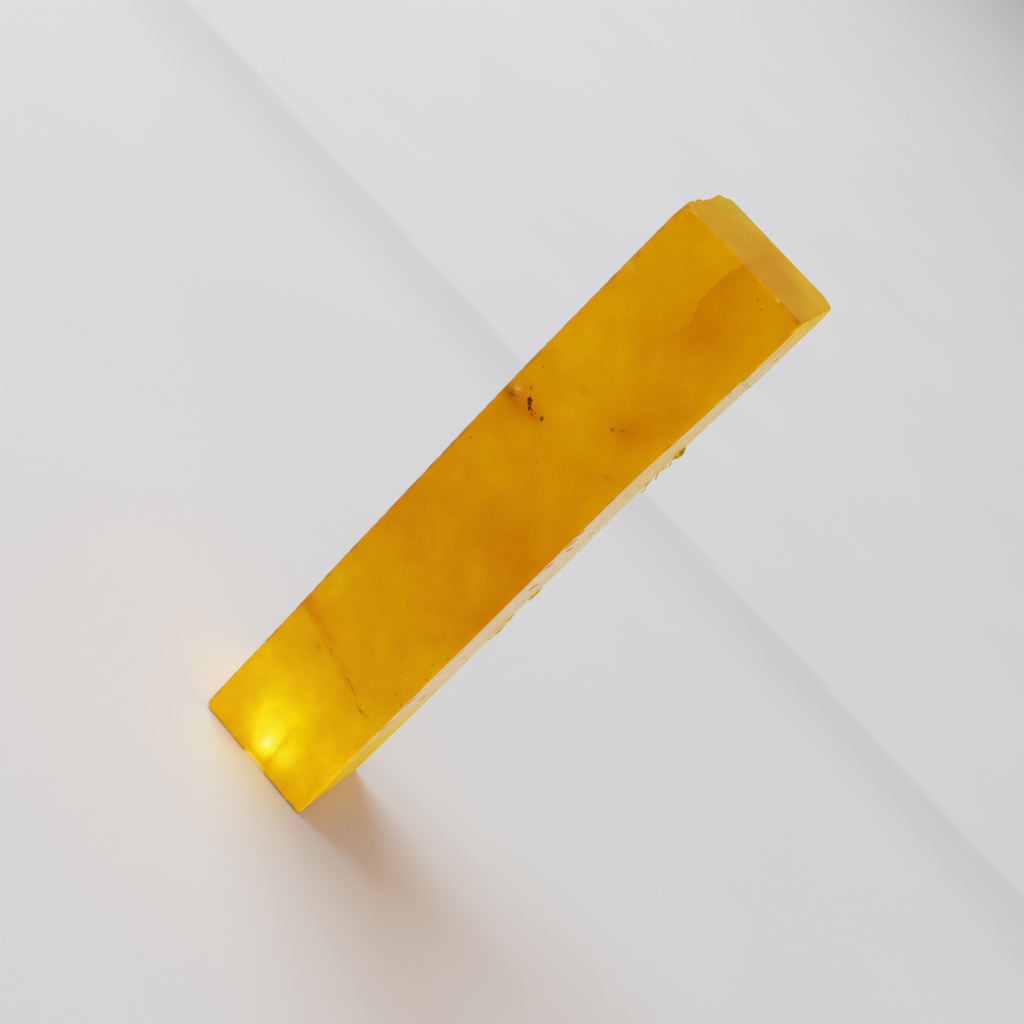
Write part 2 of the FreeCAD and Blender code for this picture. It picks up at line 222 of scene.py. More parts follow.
def block_shell(across, deep, high):
    """The outside of a block as points, in shares of its sides, and quads that face outwards."""
    shell = np.zeros((len(across), len(deep), len(high)), bool)
    shell[[0, -1]] = shell[:, [0, -1]] = shell[:, :, [0, -1]] = True
    index = np.full(shell.shape, -1)
    index[shell] = np.arange(shell.sum())
    i, j, k = np.nonzero(shell)
    quads = []
    for axis in range(3):
        for end in (0, -1):
            sheet = np.take(index, end, axis=axis)
            corners = [sheet[:-1, :-1], sheet[1:, :-1], sheet[1:, 1:], sheet[:-1, 1:]]
            four = np.stack(corners, -1).reshape(-1, 4)
            quads.append(four[:, ::-1] if (end == 0) != (axis == 1) else four)
    return np.stack([across[i], deep[j], high[k]], 1), np.concatenate(quads)


def round_edges(shares, sizes, radius, ends):
    """Rounds a block's edges. Ends says whether the lower and upper end are rounded too."""
    near = shares * sizes
    far = (1 - shares) * sizes
    gap = np.minimum(near, far)
    lower = near < far
    inset = np.minimum(gap - radius[:, None], 0)
    for end, wanted in enumerate(ends):
        if not wanted:
            inset[lower[:, 2] == (end == 0), 2] = 0
    reach = np.linalg.norm(inset, axis=1)
    rounded = reach > 1e-9
    scale = np.ones(len(shares))
    scale[rounded] = np.minimum(radius[rounded] / reach[rounded], 1)
    moved = gap - inset + inset * scale[:, None]
    return np.where(lower, moved, sizes - moved) / sizes


def tube_faces(rings, around):
    """The faces of a closed tube: quads between its rings of points, and a cap at each end."""
    faces = []
    last = (rings - 1) * around
    for first in range(0, last, around):
        for j in range(around):
            k = (j + 1) % around
            faces.append((first + j, first + k, first + around + k, first + around + j))
    return faces + [list(range(around))[::-1], list(range(last, last + around))]


def bite(points, place, outward, half_width, depth):
    """Takes a shell-shaped chip out of an edge: the points inside a ball are pushed onto it."""
    outward = np.array(outward, float) / np.linalg.norm(outward)
    radius = (half_width**2 + depth**2) / (2 * depth)
    centre = np.array(place, float) + outward * (radius - depth)
    near = np.abs(points - place).max(1) < 3 * half_width
    offset = points[near] - centre
    distance = np.linalg.norm(offset, axis=1)
    inside = distance < radius
    pushed = np.where(inside[:, None], centre + offset * (radius / distance)[:, None], points[near])
    points[near] = pushed


def facet(points, corners, lump):
    """Knocks a corner off along a plane through three points, with a lumpy surface."""
    a, b, c = (np.array(corner, float) for corner in corners)
    normal = np.cross(b - a, c - a)
    normal /= np.linalg.norm(normal)
    if normal @ (a - (0, 0, LENGTH / 2)) < 0:
        normal = -normal
    above = (points - a) @ normal
    cut = above > 0
    points[cut] -= np.outer(above[cut] - lump * noise(points[cut], 0.9, 11), normal)


def chip_edges(points):
    """Chips the bar's arrises: a row of saw bites down the left one, and scattered small ones elsewhere."""
    chance = np.random.default_rng(4)
    height = 1.5
    while height < LENGTH - 1:
        place = (left_edge(height), FRONT, height)
        bite(points, place, (-1, -0.5, 0), chance.uniform(0.6, 1.1), chance.uniform(0.06, 0.2))
        height += chance.uniform(1.5, 2.3)
    width = cad_high.x / MM
    runs = [
        # start, end, outward direction, how many, largest half width, largest depth
        ((-9.5, FRONT, LENGTH), (9.5, FRONT, LENGTH), (0, -1, 1), 26, 0.45, 0.12),
        ((-9.5, HALF_DEPTH, LENGTH), (9, HALF_DEPTH, LENGTH), (0, 1, 1), 14, 1.0, 0.16),
        ((width, FRONT, LENGTH), (width, 7, LENGTH), (1, 0, 1), 10, 0.6, 0.12),
        ((-10.1, FRONT, LENGTH), (-10.1, 6, LENGTH), (-1, 0, 1), 8, 0.9, 0.2),
        ((-9, FRONT, 0), (10, FRONT, 0), (0, -1, -1), 12, 0.6, 0.1),
        ((-9, HALF_DEPTH, 0), (10, HALF_DEPTH, 0), (0, 1, -1), 12, 1.0, 0.16),
    ]
    for start, end, outward, count, half_width, depth in runs:
        for share in chance.uniform(0, 1, count):
            place = np.array(start) + (np.array(end) - start) * share
            bite(points, place, outward, half_width * chance.uniform(0.4, 1), depth * chance.uniform(0.3, 1))
    uprights = [
        # how many, y, outward direction, largest depth
        (22, FRONT, (1, -1, 0), 0.1),
        (30, HALF_DEPTH, (1, 1, 0), 0.2),
        (34, HALF_DEPTH, (-1, 1, 0), 0.24),
    ]
    for count, y, outward, depth in uprights:
        for height in chance.uniform(2, LENGTH - 3, count):
            heights = np.array([height])
            side = right_x if outward[0] > 0 else left_x
            place = (float(side(np.array([y]), heights)[0]), y, height)
            bite(points, place, outward, chance.uniform(0.3, 1.1), depth * chance.uniform(0.2, 1))


def arris_radius(shares, sizes, lowest):
    """How round the arrises are: uneven, with a wider bevel on a stretch of the right front one."""
    radius = 0.16 + 0.05 * noise(shares * sizes, (3, 3, 3), 2)
    height = lowest + shares[:, 2] * sizes[2]
    stretch = smooth(64, 69, height) * (1 - smooth(77, 82, height))
    radius = radius + 0.22 * stretch * smooth(0.7, 0.9, shares[:, 0]) * smooth(0.3, 0.1, shares[:, 1])
    return radius + 0.4 * smooth(0.9, 0.95, shares[:, 0]) * smooth(LENGTH - 2.5, LENGTH - 1, height)


def shape_bar(shares, lowest, highest, ends):
    """Turns a block's shares into the bar's shape between two heights. Both may depend on x."""
    sizes = np.array([WIDTH, 2 * HALF_DEPTH, highest(0.0) - lowest(0.0)])
    if sizes[2] > 1:
        shares = round_edges(shares, sizes, arris_radius(shares, sizes, lowest(0.0)), ends)
    y = FRONT + shares[:, 1] * 2 * HALF_DEPTH
    rough_x = (shares[:, 0] - 0.5) * WIDTH
    z = lowest(rough_x) + shares[:, 2] * (highest(rough_x) - lowest(rough_x))
    x = left_x(y, z) + shares[:, 0] * (right_x(y, z) - left_x(y, z))
    y = y + (front_y(x, z) - FRONT) * (1 - smooth(0, 0.3, shares[:, 1]))
    return np.stack([x, y, z], 1)


# The radius of the foot's lower left edge.
FOOT_ROUNDING = 1.3


def finish_foot(points):
    """Rounds the foot's lower left edge and chips its front lower edge where the light comes through."""
    corner = np.array([left_edge(0.0) + FOOT_ROUNDING, FOOT_ROUNDING])
    inset = np.minimum(points[:, [0, 2]] - corner, 0)
    reach = np.linalg.norm(inset, axis=1)
    both = (inset < 0).all(1) & (reach > FOOT_ROUNDING)
    points[both] = np.stack([
        corner[0] + inset[both, 0] * FOOT_ROUNDING / reach[both],
        points[both, 1],
        corner[1] + inset[both, 1] * FOOT_ROUNDING / reach[both],
    ], 1)
    bite(points, (0.5, FRONT, 0), (0, -1, -0.8), 2.2, 0.3)
    bite(points, (10.2, FRONT - 0.5, 0), (1, -0.4, -1), 0.9, 0.28)


def finish_top(points):
    """Knocks off three top corners, with a long sliver at the back left, and nicks the edges between them."""
    left, right = left_edge(LENGTH), 10.3
    knocked_off = [
        # the corner's x and y, how far the plane cuts in along x, y and height, and how lumpy it is
        (left, HALF_DEPTH, (1.5, -3, -9), 0.12),
        (left, FRONT, (0.6, 1.5, -2.5), 0.05),
        (right, HALF_DEPTH, (-1.8, -1.6, -2.2), 0.04),
    ]
    for x, y, (along_x, along_y, down), lump in knocked_off:
        facet(points, [(x + along_x, y, LENGTH), (x, y + along_y, LENGTH), (x, y, LENGTH + down)], lump)
    bite(points, (left, 1.6, LENGTH), (-1, 0, 0.35), 4.6, 0.45)
    bite(points, (left, -4.6, LENGTH), (-1, 0, 0.5), 1.1, 0.35)
    bite(points, (left, -1.6, LENGTH), (-1, 0, 0.4), 0.9, 0.5)
    bite(points, (left + 0.5, 7.2, LENGTH), (-1, 0.4, 0.5), 1.2, 0.4)
    bite(points, (10.15, FRONT, LENGTH), (1, -0.6, 1), 0.9, 0.3)


# ------------ the bar's colour

# How much light reaches the front face, as a share of what would show a white card as white.
FRONT_LIGHT = 1.03
DEEP = linear((196, 112, 0)) / FRONT_LIGHT
ORANGE = linear((204, 128, 0)) / FRONT_LIGHT
HONEY = linear((213, 153, 0)) / FRONT_LIGHT
YELLOW = linear((229, 177, 0)) / FRONT_LIGHT
BRIGHT = linear((246, 218, 0)) / FRONT_LIGHT
# The glow's colours: light shining out of the foot, painted into its surface.
PAINTED_GLOW_MIDDLE = linear((249, 232, 40))
PAINTED_GLOW_CORE = linear((250, 248, 180))
FROST = linear((240, 226, 120))
FAR_CORNER = linear((70, 96, 0))
# The sawn right face: its two streaks, its speckle, foot, back edge and grooves. All but the groove are
# lighter than the body's colours: the sawn finish, and painted light that comes through the bar from the
# window.
SAWN_YELLOW = linear((250, 214, 4))
SAWN_PALE = linear((240, 188, 34))
SAWN_SPECKLE = linear((196, 172, 8))
SAWN_FOOT = linear((240, 186, 0))
SAWN_BACK_EDGE = linear((238, 206, 6))
SAWN_GROOVE = linear((160, 112, 10))
# Dirt along the arrises, and painted shade round the sole where it stands on the floor.
RIGHT_ARRIS = linear((160, 122, 8))
LEFT_ARRIS = linear((146, 102, 6))
TOP_RIM = linear((166, 108, 4))
SOLE_SHADE = linear((130, 92, 0))
# The crack's stain, and a burr's light and dark parts.
CRACK_STAIN = linear((146, 62, 0)) / FRONT_LIGHT
BURR_LIGHT = linear((216, 204, 24))
BURR_DARK = linear((126, 112, 8))
# No colour gives back more of the light than this.
LIGHTEST = 0.95

# How yellow the bar is at each height: 0 is orange, 1 is honey and 2 is yellow. The foot below the crack is
# yellowest: partly the stone's own tone and partly painted light that shines up through the foot and stops at
# the crack.
honey_at = through(
    (0, 1.7), (5, 2.0), (13, 2.0), (18, 1.5), (23, 1.1), (30, 1.05),
    (38, 0.6), (50, 0.35), (58, 0.6), (70, 0.75), (85, 0.8), (100, 0.9),
)

# Clouds: centre x and z, reach in x and z, how deep behind the front, and how much yellower or redder.
CLOUDS = [
    (-8, 94, 7, 9, 12, 0.25),
    (-8, 80, 5, 9, 9, 0.45),
    (7.5, 97, 4, 4, 6, 0.15),
    (2.5, 89, 6, 5, 5, -0.5),
    (5.5, 79, 4, 8, 6, -0.45),
    (9.5, 76, 1.6, 5, 4, 0.3),
    (-8.5, 65, 3.5, 3.2, 4, -0.35),
    (-6, 59, 4.5, 4, 6, 0.3),
    (4, 52, 8, 6, 8, -0.25),
    (-8, 53, 4, 6, 8, 0.15),
    (9.5, 43, 2.5, 5, 6, -0.3),
    (-9, 34, 3, 4, 6, 0.15),
    (8, 40, 3, 5, 6, -0.1),
    # A yellower cloud round the foot: partly painted light from the glow.
    (0, 8, 7, 5, 14, 0.35),
]
# Stains, bruises and painted glints: place, reach on each axis, colour as seen and how strong it is at its
# middle.
STAINS = [
    ((-9.6, FRONT, 24.2), (2.8, 3.0, 1.1), (206, 108, 0), 0.65),
    ((-7.4, FRONT, 23.4), (2.4, 1.0, 0.7), (200, 104, 0), 0.6),
    ((-4.6, FRONT, 22.7), (2.2, 2.0, 0.9), (212, 118, 0), 0.7),
    ((-1.5, FRONT, 21.4), (2.4, 1.0, 0.5), (206, 124, 0), 0.4),
    ((-4.2, FRONT, 20.5), (0.7, 0.5, 0.4), (176, 100, 0), 0.55),
    ((2.4, FRONT, 20.3), (1.6, 0.5, 0.3), (196, 116, 0), 0.5),
    ((6.3, FRONT, 18.7), (1.4, 0.5, 0.3), (190, 112, 0), 0.5),
    ((-6.6, FRONT, 67.2), (2.8, 2.0, 1.8), (202, 108, 0), 0.65),
    ((-5.2, FRONT, 67.0), (1.4, 1.0, 0.7), (190, 84, 0), 0.5),
    ((-9.5, FRONT, 66.7), (1.5, 1.0, 0.9), (150, 76, 0), 0.8),
    ((-8.4, FRONT, 66.2), (1.6, 1.0, 0.9), (186, 100, 0), 0.5),
    ((4.2, FRONT, 73.8), (2.4, 1.0, 1.5), (198, 112, 0), 0.55),
    ((5.4, FRONT, 75.2), (2.2, 1.0, 2.6), (204, 116, 0), 0.4),
    ((6.8, FRONT, 68.5), (1.0, 1.0, 0.7), (196, 112, 0), 0.4),
    ((-8.0, FRONT, 69.2), (0.9, 1.0, 0.8), (196, 112, 0), 0.4),
    ((-3.1, FRONT, 74.15), (1.0, 1.0, 0.7), (186, 116, 0), 0.45),
    # The next four are pale spots at the top front arris's chips: crushed stone with glints painted into it.
    ((-8.9, FRONT, 100), (0.3, 0.4, 0.25), (250, 210, 110), 0.6),
    ((-8.3, FRONT, 100), (0.25, 0.3, 0.2), (250, 215, 120), 0.6),
    ((6.0, FRONT, 100), (0.25, 0.3, 0.2), (255, 225, 130), 0.8),
    ((2.9, FRONT, 100), (0.2, 0.3, 0.15), (245, 205, 110), 0.5),
    ((6.7, FRONT, 100.1), (0.5, 0.5, 0.25), (130, 66, 0), 0.85),
    ((9.5, FRONT, 99.8), (0.7, 0.7, 0.35), (140, 76, 0), 0.55),
    ((-9.6, FRONT, 89.6), (0.9, 0.8, 0.6), (226, 186, 60), 0.35),
    ((-9.2, FRONT, 67.9), (0.6, 0.5, 0.45), (226, 176, 70), 0.6),
    ((4, HALF_DEPTH, 62), (4, 3, 8), (186, 104, 0), 0.4),
    ((-5, HALF_DEPTH, 40), (2.5, 2, 6), (240, 196, 50), 0.35),
    ((5, HALF_DEPTH, 84), (2.2, 1, 0.9), (170, 90, 0), 0.4),
    ((-3, HALF_DEPTH, 73), (1.0, 1, 0.5), (160, 80, 0), 0.4),
    ((6, HALF_DEPTH, 30), (2.2, 1, 0.7), (176, 92, 0), 0.5),
    ((-10.3, 3, 55), (2, 3, 7), (190, 104, 0), 0.4),
    ((-10.3, -3, 33), (2, 2.2, 4), (236, 190, 40), 0.3),
    ((-10.4, 4.5, 78), (1, 2.0, 0.9), (170, 92, 0), 0.4),
]
VEIL = [(-0.14, 100), (-0.6, 97.6), (-0.86, 94.8), (-0.63, 92.7), (-0.06, 91.5), (0.29, 90.1), (-0.2, 88.2)]
FISSURE = [(2.5, 0), (2.07, 2.9), (1.7, 4.6), (1.35, 6.8), (1.2, 9.4)]


def along(line, height):
    """The x of a line across the front, given as points of x and height, at each height."""
    x, z = np.array(sorted(line, key=lambda point: point[1]), float).T
    return np.interp(height, z, x) + 0.07 * np.sin(3.7 * height) + 0.05 * np.sin(8.3 * height + 1)


def body_colour(points):
    """The bar's colour at each point in linear light, from clouds, the veil, stains and the glow, which is
    light painted into the colour.
    """
    x, y, z = points.T
    behind = y - FRONT
    level = honey_at(z)
    for centre_x, centre_z, reach_x, reach_z, reach_y, change in CLOUDS:
        away = ((x - centre_x) / reach_x) ** 2 + ((z - centre_z) / reach_z) ** 2 + (behind / reach_y) ** 2
        level = level + change * np.exp(-1.4 * away)
    # Right of the veil the bar is redder, most of all close to it: painted shade, where the veil keeps out
    # light from the left.
    past_veil = x - along(VEIL, z)
    veil = smooth(0, 0.25, past_veil) * np.exp(-np.maximum(past_veil, 0) / 5.5)
    level = level - 0.85 * veil * smooth(84, 93, z) * np.exp(-behind / 7)
    slanted = np.stack([x + 0.7 * z, y, z - 0.7 * x], 1)
    level = level + 0.2 * noise(points, (6, 7, 8), 21) + 0.1 * noise(points, 2.2, 22)
    level = level + 0.1 * noise(slanted, (1.6, 3, 5), 24) + 0.05 * noise(points, 0.8, 25)
    level = level + 0.5 * smooth(FRONT + 2, FRONT + 8, y) * noise(points, (9, 9, 13), 23)
    # The glow is painted light: it makes the foot yellower here and paler below.
    painted_glow = glow(points)
    level = level + 1.7 * np.minimum(painted_glow, 1)
    steps = [DEEP, ORANGE, HONEY, YELLOW, BRIGHT]
    at = np.clip(level + 1, 0, len(steps) - 1)
    colour = np.stack([np.interp(at, range(len(steps)), channel) for channel in np.transpose(steps)], 1)
    for place, reach, stain, strength in STAINS:
        away = (((points - place) / reach) ** 2).sum(1)
        colour = mixed(colour, linear(stain) / FRONT_LIGHT, strength * np.exp(-1.4 * away))
    # Painted glow over the colour, near white at its core.
    bright = smooth(0.3, 0.85, painted_glow)
    core = smooth(0.75, 1.2, painted_glow)
    colour = mixed(colour, mixed(PAINTED_GLOW_MIDDLE, PAINTED_GLOW_CORE, core), bright)
    return np.minimum(colour, LIGHTEST)


def frosted_and_shaded_top(colour, points, normals):
    """The colour with the top end's frost: thickest at the back, greener at the far corner, and mottled. The
    top is also darkened as painted shade, so that it looks no lighter than the less lit front.
    """
    top = smooth(0.5, 0.9, normals[:, 2])[:, None]
    frost = (0.5 + 0.5 * noise(points, (2.6, 2.6, 2.6), 31) + 0.3 * noise(points, 0.6, 32))[:, None]
    far_corner = smooth(5, 10, points[:, 0] + 0.6 * points[:, 1])[:, None]
    far = smooth(-4, 9, points[:, 1] - 0.2 * points[:, 0])[:, None]
    # Painted shade: the top end is darkened, the more where its frost is thicker.
    colour = colour * (1 - top * (0.14 + 0.1 * frost))
    colour = colour + top * FROST * (0.002 + 0.03 * frost + 0.07 * far * frost)
    colour = colour + top * far_corner * FAR_CORNER * 0.3
    mottled = noise(points, (3.4, 2.2, 3), 47) + 0.5 * noise(points, (1.1, 0.8, 1), 48)
    colour = colour * (1 + top * mottled[:, None] * (0.03, 0.07, 0.0))
    return colour + top * far * smooth(2, -9, points[:, 0:1]) * (-0.03, 0.06, 0.0)


def sawn_side(points):
    """The sawn right face's colour, lightened with painted light that comes through the bar: upright streaks,
    speckle, a yellower foot and back, and grooves.
    """
    x, y, z = points.T
    streak = 0.5 + 0.7 * noise(points, (9, 2.0, 30), 40) + 0.4 * noise(points, (9, 0.6, 22), 33)
    streak = np.clip(streak + 0.3 * noise(points, (9, 0.25, 9), 34), 0, 1)
    back_edge = smooth(6.0, 8.6, y + 0.5 * noise(points, (9, 9, 6), 37))
    speckle = smooth(0.1, 0.7, noise(points, (9, 0.35, 0.8), 46))
    foot = smooth(17, 9, z)
    broken = 0.5 + 0.5 * noise(points, (9, 9, 1.6), 49)
    groove = hump(y, GROOVE_Y, GROOVE_REACH) + 0.4 * hump(y, FAINT_GROOVE_Y, FAINT_GROOVE_REACH)
    groove = groove * smooth(82.5, 88, z) * smooth(93.5, 90, z) * broken
    sawn = mixed(SAWN_YELLOW, SAWN_PALE, 0.6 * streak)
    sawn = mixed(sawn, SAWN_SPECKLE, 0.35 * speckle)
    sawn = mixed(sawn, SAWN_FOOT, 0.7 * foot)
    sawn = mixed(sawn, SAWN_BACK_EDGE, 0.4 * back_edge)
    return mixed(sawn, SAWN_GROOVE, 0.6 * groove)


def arris_dirt_and_sole_shade(colour, points, worn):
    """The colour with broken dark lines of dirt along the right, left and top front arrises, and painted
    shade round the sole.
    """
    x, y, z = points.T
    dashes = smooth(-0.1, 0.5, noise(points, (1.2, 1.2, 1.3), 35))
    right = worn * smooth(8.5, 9.3, x) * smooth(14, 20, z) * smooth(99, 98, z)
    colour = mixed(colour, RIGHT_ARRIS, right * (0.5 + 0.35 * dashes))
    # The whole left face is close to the left edge, so the dashes stop just behind the front.
    from_left = x - left_edge(z)
    by_front = smooth(FRONT + 0.7, FRONT + 0.3, y)
    left = 0.8 * smooth(0.4, 0.1, from_left) * by_front * dashes
    left = np.maximum(worn * smooth(0.7, 0.3, from_left), left)
    colour = mixed(colour, LEFT_ARRIS, left * (0.35 + 0.4 * dashes))
    along_top = smooth(99, 99.6, z) * smooth(FRONT + 0.6, FRONT + 0.2, y)
    nicks = smooth(-0.1, 0.4, noise(points, (0.9, 1.2, 1.2), 36))
    colour = mixed(colour, TOP_RIM, worn * along_top * (0.35 + 0.4 * nicks))
    # Painted shade along the sole where it meets the floor, left out where light comes through the chip.
    in_chip = smooth(2.6, 1.6, np.abs(x - 0.5))
    sole = (0.4 + 0.6 * worn) * smooth(0.5, 0.1, z) * (1 - in_chip)
    return mixed(colour, SOLE_SHADE, 0.7 * sole)


def skin_colour(points, normals):
    """The bar's colour as its surface shows it: frosted and darkened with painted shade on top, sawn and
    lightened with painted light at the right, dirty at the arrises, with painted shade round the sole.
    """
    side = smooth(0.5, 0.9, normals[:, 0])
    colour = frosted_and_shaded_top(body_colour(points), points, normals)
    # The sawn colour, with its painted light, over the right face.
    colour = mixed(colour, sawn_side(points), 0.65 * side)
    colour = arris_dirt_and_sole_shade(colour, points, arris_wear(points, normals))
    return np.clip(colour, 0, LIGHTEST)


def glow(points):
    """How much light shines out of the foot, painted into its colour: a core above the base, a cone up from
    it, cut at the fissure, which shades the side right of it.
    """
    x, y, z = points.T
    core = hump(x, 0.2, 1.5) * hump(z, 3.5, 2.2)
    halo = hump(x, -0.5, 3.0) * hump(z, 4.6, 3.8)
    cone = hump(x, -1.9, 4.6) * hump(z, 6.6, 5.8)
    spill = 0.5 * hump(x, 3.6, 2.2) * hump(z, 4.4, 3.4)
    base = 0.95 * np.exp(-(((x - 0.6) / 2.0) ** 4)) * hump(z, 0, 0.5)
    left = 1 - smooth(-0.2, 0.2, x - along(FISSURE, z)) * smooth(12, 8, z)
    shown = (0.46 * core + 0.3 * halo + 0.42 * cone) * (0.35 + 0.65 * left) + spill * (1 - left) + base
    return shown * np.exp(-(y - FRONT) / 6)


# How polished the sawn sides are at each height.
polish_at = through(
    (0, 0.0), (9, 0.05), (15, 0.9), (24, 1.35), (40, 1.35), (60, 1.4),
    (70, 1.05), (84, 1.2), (90, 1.2), (96, 0.7), (100, 0.2),
)


def gloss(points, normals):
    """0 on the frosted ends, 0.5 on the front and back, about 1 on the sawn right and left faces."""
    sawn = smooth(0.6, 0.9, np.abs(normals[:, 0]))
    ends = smooth(0.6, 0.9, np.abs(normals[:, 2]))
    streak = 0.3 * noise(points, (9, 1.8, 26), 42) + 0.16 * noise(points, (9, 0.5, 18), 38)
    return 0.5 + sawn * (polish_at(points[:, 2]) + streak - 0.5) - 0.5 * ends


def arris_wear(points, normals):
    """1 where the surface turns between two faces, as along an arris or in a chip, and 0 on a flat face."""
    return 1 - smooth(0.9, 0.995, np.abs(normals).max(1))


# ------------ where the small things are

# Grains in the front face: x, height, length, width and tilt in degrees, which lifts the right end.
GRAINS = {
    "dark": [
        (-7.05, 68.02, 0.95, 0.75, -42),
        (-6.72, 67.60, 0.70, 0.60, -30),
        (-6.36, 67.24, 0.80, 0.52, -42),
        (-6.02, 67.30, 0.45, 0.22, -20),
        (-5.60, 66.85, 0.34, 0.30, 0),
        (-5.38, 67.34, 0.38, 0.16, 15),
        (-4.29, 67.46, 0.85, 0.50, -60),
    ],
    "pale": [
        (-9.20, 67.90, 0.80, 0.65, -20),
        (-5.24, 67.72, 0.35, 0.25, 0),
        (-8.22, 89.67, 0.50, 0.35, 30),
    ],
    "faint": [
        (-7.97, 69.27, 0.55, 0.50, 60),
        (-9.15, 66.81, 1.10, 0.55, 25),
        (3.00, 73.40, 0.95, 0.55, 12),
        (4.10, 74.28, 0.85, 0.50, 32),
        (6.79, 68.57, 0.35, 0.30, 0),
    ],
    "crack": [
        (-2.75, 21.80, 0.95, 0.16, 8),
        (1.90, 20.55, 0.85, 0.16, -12),
        (3.00, 20.05, 0.95, 0.18, -14),
        (3.78, 19.85, 0.50, 0.14, -52),
        (5.40, 19.42, 0.32, 0.14, -45),
        (6.10, 18.62, 0.80, 0.18, -6),
    ],
}
# For each kind: its key, the piece's name, slot and node, its colour as seen, how strong and how soft it is.
KINDS = [
    ("dark", "dark_crystals", "dark_mineral", "dark_grains", (94, 18, 0), 0.97, 0.35),
    ("pale", "pale_crystals", "pale_mineral", "pale_grains", (228, 180, 60), 0.6, 0.9),
    ("faint", "sunken_crystals", "brown_mineral", "faint_grains", (150, 70, 0), 0.85, 0.85),
    ("crack", "crack_crystals", "red_brown_mineral", "crack_grains", (136, 46, 0), 0.9, 0.6),
]
# Black specks in the front face, as x and height, and in the right face, as y and height.
FRONT_SPECKS = [
    (4.26, 98.23), (5.41, 97.65), (-9.77, 91.24), (-8.70, 72.40), (-0.95, 62.90),
    (-9.10, 58.50), (8.30, 31.90), (9.20, 34.20), (9.24, 29.60), (6.10, 27.50), (7.80, 24.60), (9.30, 24.10),
]
SIDE_SPECKS = [
    (4.0, 93.0), (3.5, 91.2), (-7.9, 60.3), (-7.0, 57.9), (3.4, 56.2), (-3.4, 55.4),
    (-6.8, 53.3), (-1.2, 46.8), (0.5, 30.8), (-7.0, 24.5), (1.0, 21.4), (-7.3, 18.9),
]
# Burrs on the right back arris: each one's route, from its top down, as x, y, height and radius.
BURRS = [
    [(9.9, 8.6, 86.0, 0.08), (10.1, 8.65, 85.5, 0.14), (10.05, 8.65, 85.0, 0.06)],
    [(9.85, 8.6, 72.8, 0.1), (10.02, 8.55, 72.3, 0.2), (10.2, 8.6, 71.3, 0.22), (9.9, 8.6, 70.1, 0.12)],
    [(10.0, 8.6, 72.2, 0.06), (10.3, 8.4, 71.8, 0.14), (10.26, 8.5, 70.9, 0.12), (10.0, 8.6, 70.6, 0.05)],
    [(10.0, 8.65, 69.8, 0.06), (10.2, 8.65, 69.2, 0.1), (9.9, 8.7, 67.7, 0.07), (10.22, 8.65, 66.4, 0.1)],
    [(9.85, 8.65, 66.2, 0.08), (9.98, 8.7, 64.9, 0.08), (10.24, 8.65, 64.1, 0.1), (10.1, 8.7, 63.4, 0.04)],
    [(10.0, 8.7, 43.6, 0.06), (10.2, 8.7, 41.6, 0.13), (10.14, 8.7, 40.2, 0.06)],
    [(10.05, 8.7, 37.4, 0.05), (10.26, 8.7, 35.2, 0.1), (10.34, 8.7, 33.3, 0.1), (10.24, 8.7, 31.2, 0.05)],
]

# ------------ making pieces


def add_object(name, data):
    """An object in the scene around a mesh, lamp or camera."""
    made = bpy.data.objects.new(name, data)
    bpy.context.scene.collection.objects.link(made)
    return made


def store(piece, name, kind, values):
    """Keeps a value for each of a piece's points, for its material to read."""
    layer = piece.data.attributes.new(name, kind, "POINT")
    field = "vector" if kind == "FLOAT_VECTOR" else "value"
    layer.data.foreach_set(field, np.asarray(values, np.float32).ravel())


def store_looks(piece, points, colour_at):
    """Stores colour, gloss and wear on a piece's points. Colour_at takes points and normals."""
    normals = np.empty(len(points) * 3, np.float32)
    piece.data.vertex_normals.foreach_get("vector", normals)
    normals = normals.reshape(-1, 3)
    store(piece, "tint", "FLOAT_VECTOR", colour_at(points, normals))
    store(piece, "gloss", "FLOAT", gloss(points, normals))
    store(piece, "wear", "FLOAT", arris_wear(points, normals))


def add_piece(name, points, faces, material, replaced, colour_at):
    """A smooth mesh piece of the object from points in millimetres, riding on the bar's one body."""
    mesh = bpy.data.meshes.new(name)
    mesh.from_pydata((np.asarray(points) * MM).tolist(), [], [list(map(int, face)) for face in faces])
    mesh.polygons.foreach_set("use_smooth", np.full(len(faces), True))
    mesh.validate()
    mesh.set_sharp_from_angle(angle=math.radians(SHARP_ANGLE))
    mesh.materials.append(material)
    piece = add_object(name, mesh)
    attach(piece, "root")
    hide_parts(replaced)
    store_looks(piece, points, colour_at)
    return piece


def add_block(name, lowest, highest, ends, finish_shape, material, replaced):
    """One block of the bar."""
    across = lines_between(WIDTH, 0.28)
    deep = lines_between(2 * HALF_DEPTH, 0.34)
    high = lines_between(highest(0.0) - lowest(0.0), 0.3)
    shares, quads = block_shell(across, deep, high)
    points = shape_bar(shares, lowest, highest, ends)
    finish_shape(points)
    chip_edges(points)
    return add_piece(name, points, quads, material, replaced, skin_colour)


